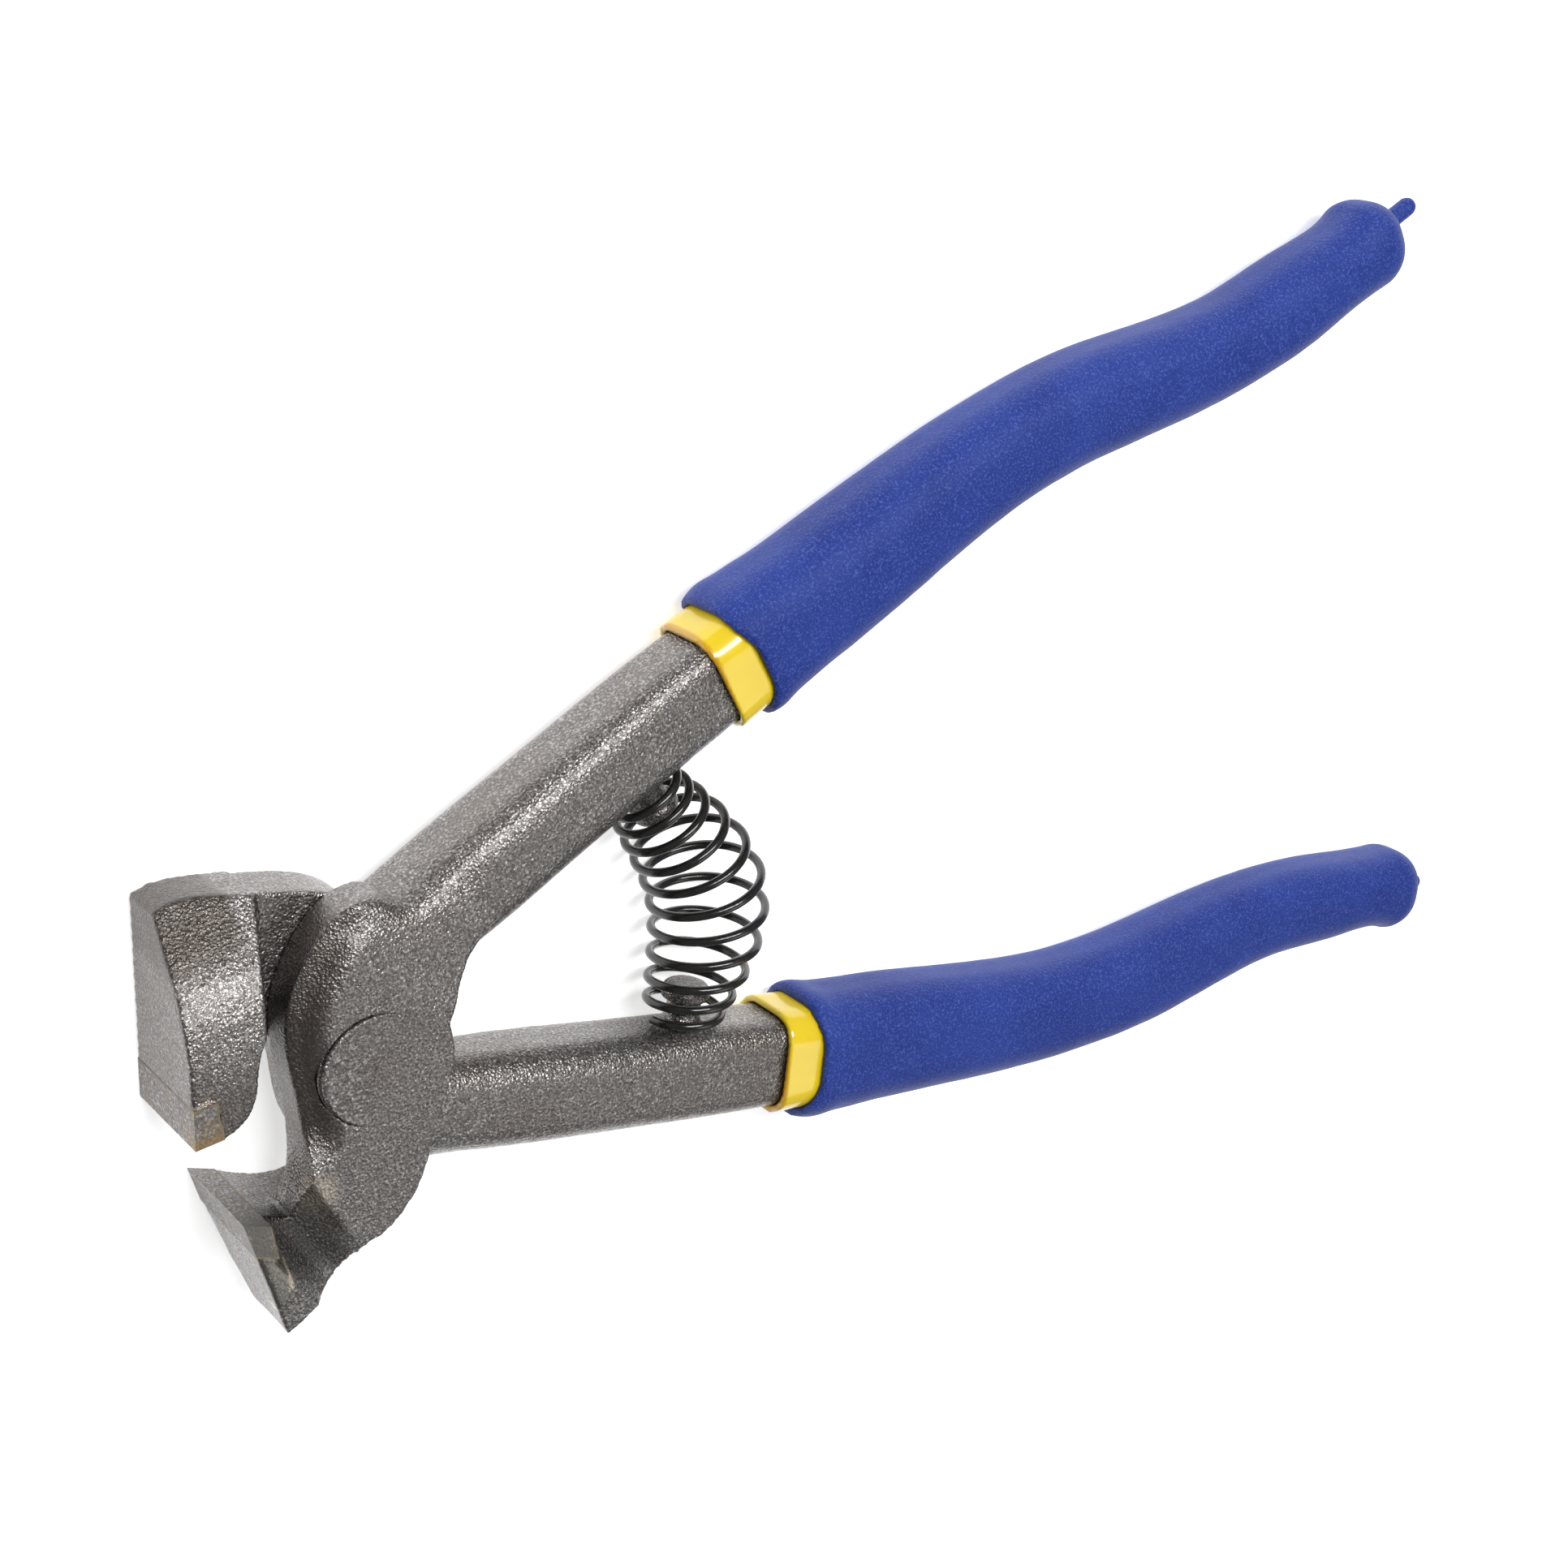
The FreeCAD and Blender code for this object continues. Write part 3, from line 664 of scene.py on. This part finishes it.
def make_rear(finish):
    """The rear forging: far boss, upper jaw and lower bar."""
    piece, soft = forged("rear_half", "rear_forging", -1, REAR_EDGE, REAR_CORNER, "upper")
    smoothed(piece, SOFT_TURNS, soft)
    points = about_pivot(piece.data)
    x, y, z = points.T
    # brownish painted shade: a band along the boss's rim and the lower and top parts of the upper jaw's near
    # side, with its front face a touch darker too
    gap = line_distance(points, REAR_EDGE)
    band = ramped(gap, 0.8, 2.2) * (1 - ramped(gap, 3.2, 5.0)) * ramped(-z, 1.0, 2.0) * 0.8
    jaw = ramped(-x, 8.5, 10.0) * ramped(z, -7.0, 3.0)
    low = jaw * (1 - ramped(y, 3.0, 11.0)) * 0.6
    top = ramped(-x, 8.5, 10.0) * ramped(y, 16.5, 20.5) * 0.85
    front = ramped(-x, 17.5, 18.4) * 0.25
    brown = np.maximum.reduce([band, low, top, front])
    gold = ramped(-x, 18.0, 19.5) * ramped(z, 4.5, 6.5) * (1 - ramped(y, 4.5, 7.5))
    gold *= ramped(noise_values(points, 1.0), -0.1, 0.5) * 0.35
    finished(piece, "rear", finish, "rear_half", "upper", 0.25 + 0.75 * jaw, gold=gold, brown=brown)


# ---- rivet ---------------------------------------------------------------------------------------

RIVET_RADIUS = 7.1
RIVET_OPEN_SIDE = math.radians(155)     # middle of the dark crescent beside the head
RIVET_SKIRT = 1.3                       # how far the head's wall goes down under the boss's face
RIVET_ROLL_START = 0.85                 # share of the head's rings that is flat
RIVET_RINGS = 60
RIVET_SPOKES = 240


def rivet_rings():
    """The near head's rings of points about the pivot, from its middle to the foot of its wall."""
    around = np.linspace(0, 2 * math.pi, RIVET_SPOKES, endpoint=False)
    open_side = ramped(0.5 + 0.5 * np.cos(around - RIVET_OPEN_SIDE), 0.25, 0.85)
    radius = RIVET_RADIUS - 0.45 * open_side
    rise = 0.03 + 0.20 * open_side
    roll = 0.05 + 0.32 * open_side
    rings = []
    for ring in range(1, RIVET_RINGS + 1):
        share = ring / RIVET_RINGS
        inner = np.clip(share / RIVET_ROLL_START, 0, 1)
        over = np.clip((share - RIVET_ROLL_START) / (1 - RIVET_ROLL_START), 0, 1) * math.pi / 2
        r = (radius - roll) * inner + roll * np.sin(over)
        z = BOSS_FACE + rise * (0.55 + 0.45 * inner) - roll * (1 - np.cos(over))
        rings.append(np.stack([r * np.cos(around), r * np.sin(around), z], 1))
    foot = np.full(RIVET_SPOKES, BOSS_FACE - RIVET_SKIRT)
    rings.append(np.stack([radius * np.cos(around), radius * np.sin(around), foot], 1))
    return rings


def add_closed_head(mesh, rings):
    """Join rings into a closed skin, with a fan at each end."""
    shape = bmesh.new()
    shape.from_mesh(mesh)
    centre = shape.verts.new(Vector(rings[0].mean(0)) * MM + PIVOT)
    rows = [[shape.verts.new(Vector(p) * MM + PIVOT) for p in ring] for ring in rings]
    for i in range(RIVET_SPOKES):
        j = (i + 1) % RIVET_SPOKES
        shape.faces.new((centre, rows[0][i], rows[0][j]))
        for low, high in zip(rows, rows[1:]):
            shape.faces.new((low[i], high[i], high[j], low[j]))
    under = shape.verts.new(Vector((0, 0, BOSS_FACE - RIVET_SKIRT)) * MM + PIVOT)
    for i in range(RIVET_SPOKES):
        shape.faces.new((under, rows[-1][(i + 1) % RIVET_SPOKES], rows[-1][i]))
    shape.to_mesh(mesh)
    shape.free()


def make_rivet(finish):
    """The rivet: its near head stands up at the upper left, by a dark crescent, and is flush elsewhere."""
    piece = copied("pivot_rivet", "riveted_pin")
    points = about_pivot(piece.data)
    points[:, 2] = np.minimum(points[:, 2], BOSS_FACE - 0.6)
    set_points(piece.data, points)
    add_closed_head(piece.data, rivet_rings())
    points = about_pivot(piece.data)
    points += rough_skin(points, 2.0, 0.02) * (points[:, 2:3] > BOSS_FACE - 0.5)
    set_points(piece.data, inside_box(points))
    place(piece, "front", finish, "pivot_rivet")


# ---- spring, sleeves, grips ----------------------------------------------------------------------

def make_spring(finish):
    """The coil spring between the two pegs, a smooth-shaded copy of the CAD node."""
    piece = copied("return_spring", "barrel_spring")
    shade_smooth(piece)
    piece.data.materials.append(finish)
    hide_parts("return_spring")
    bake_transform(piece)


def along_handle(points, side):
    """How far each point is along its handle's own X, in mm."""
    return points[:, 0] * math.cos(HALF_OPEN) + side * points[:, 1] * math.sin(HALF_OPEN)


def across_handle(points, side):
    """How far each point is outwards from the middle of its handle's grip, in mm."""
    return -points[:, 0] * math.sin(HALF_OPEN) + side * points[:, 1] * math.cos(HALF_OPEN) - GRIP_MIDDLE


def make_sleeve(node, body, side, finish):
    """The inner sleeve, a dipped skin with a deeper tone round its mouth."""
    piece = copied(node, node.replace("inner_sleeve", "dipped_collar"))
    remeshed(piece, SLEEVE_VOXEL)
    smoothed(piece, 9)
    points = about_pivot(piece.data)
    points += rough_skin(points, 6.0, 0.05)
    set_points(piece.data, points)
    depth = along_handle(points, side) - SLEEVE_START
    point_attribute(piece.data, "rim", (1 - ramped(depth, 0.1, 0.45)) * 0.9)
    place(piece, body, finish, node)


def make_grip(node, body, side, finish):
    """The grip, with the thick uneven lip that dipping leaves at its mouth."""
    piece = copied(node, node.replace("grip", "dipped_grip"))
    remeshed(piece, GRIP_VOXEL)
    smoothed(piece, 4)
    points = about_pivot(piece.data)
    normals = vertex_normals(piece.data)
    depth = along_handle(points, side) - GRIP_START
    across = across_handle(points, side)
    outer = ramped(across, 2.0, 7.0)
    inner = ramped(-across, 2.0, 7.0)
    bead = np.exp(-((depth - 1.6) / 1.6) ** 2) * (0.12 + 0.30 * inner + 0.22 * outer)
    wave = np.exp(-((depth - 9.0) / 4.0) ** 2) * 0.12
    points += normals * (bead - wave)[:, None]
    reach = (1 - ramped(depth, 0.0, 5.0)) * (1.3 * outer + 0.9 * inner)
    points -= np.outer(reach, (math.cos(HALF_OPEN), side * math.sin(HALF_OPEN), 0))
    points += rough_skin(points, 9.0, 0.10) + rough_skin(points, 3.0, 0.03)
    set_points(piece.data, inside_box(points))
    place(piece, body, finish, node)


# ---- build ---------------------------------------------------------------------------------------

def refinish(node, finish):
    """Give a CAD node that is shown as it is a better material."""
    nodes[node].data.materials.clear()
    nodes[node].data.materials.append(finish)


make_camera()
make_floor()
make_world()
for lamp in SOFTBOXES:
    softbox(*lamp)
steel = blasted_steel("blasted_steel")
make_front(steel)
make_rear(steel)
make_rivet(blasted_steel("rivet_steel"))
make_spring(spring_black())
yellow = yellow_vinyl()
blue = blue_vinyl()
make_sleeve("upper_inner_sleeve", "front", 1, yellow)
make_sleeve("lower_inner_sleeve", "rear", -1, yellow)
make_grip("upper_grip", "front", 1, blue)
make_grip("lower_grip", "rear", -1, blue)
braze = braze_metal()
refinish("upper_carbide_tip", ground_carbide("upper_carbide", GOLDEN_END, 0.0030))
refinish("lower_carbide_tip", ground_carbide("lower_carbide", GROUND_STEEL, 0.0))
refinish("upper_braze_seam", braze)
refinish("lower_braze_seam", braze)
